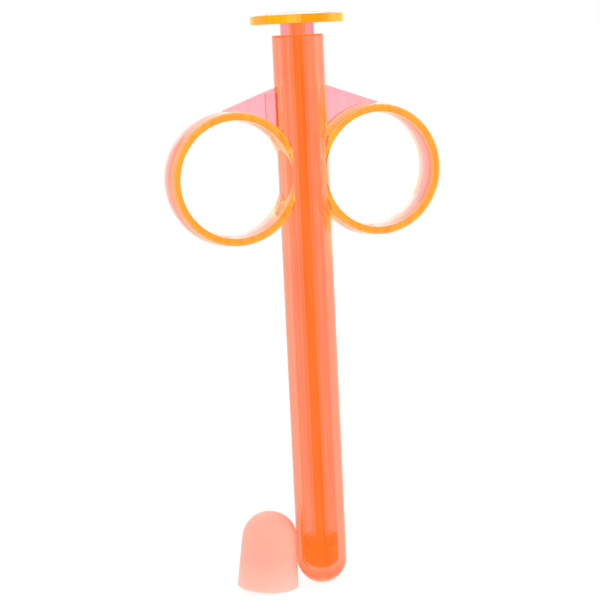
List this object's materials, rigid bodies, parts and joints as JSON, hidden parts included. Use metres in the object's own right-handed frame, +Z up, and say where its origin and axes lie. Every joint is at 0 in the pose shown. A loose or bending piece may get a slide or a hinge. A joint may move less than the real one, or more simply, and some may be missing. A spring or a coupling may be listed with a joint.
{
  "type": "oral syringe",
  "caption": "Ring-handled oral syringe: round-nosed clear barrel with side finger rings, sliding plunger with seal and crowned thumb plate, and a separate push-on cap.",
  "frame": {"origin": "centre of the nozzle mouth, on the barrel axis", "axes": "+Z up the barrel axis from the nozzle to the thumb plate, +X through the right finger ring, -Y toward the front faces of the rings"},
  "size_m": [0.0708, 0.023, 0.1435],
  "materials": {
    "barrel_plastic": "clear fluorescent orange-pink",
    "plunger_plastic": "clear fluorescent orange-pink",
    "seal_rubber": "soft matte",
    "cap_plastic": "frosted"
  },
  "bodies": {
    "barrel": {"barrel": "barrel_plastic", "finger_ring_left": "barrel_plastic", "finger_ring_right": "barrel_plastic", "gusset_left": "barrel_plastic", "gusset_right": "barrel_plastic"},
    "seal": {"seal_ring": "seal_rubber"},
    "plunger": {"plunger_rod": "plunger_plastic", "thumb_plate": "plunger_plastic", "piston_head": "plunger_plastic"},
    "cap": {"tip_cap": "cap_plastic"}
  },
  "joints": [
    {"name": "plunger_slide", "type": "slide", "parent": "barrel", "child": "seal", "axis": [0, 0, 1], "range_m": [0, 0.1]},
    {"name": "plunger_spin", "type": "hinge", "parent": "seal", "child": "plunger", "pos_m": [0, 0, 0.01], "axis": [0, 0, 1], "continuous": true},
    {"name": "cap_lift", "type": "slide", "parent": "barrel", "child": "cap", "axis": [0, 0, 1], "range_m": [0, 0.06]}
  ]
}
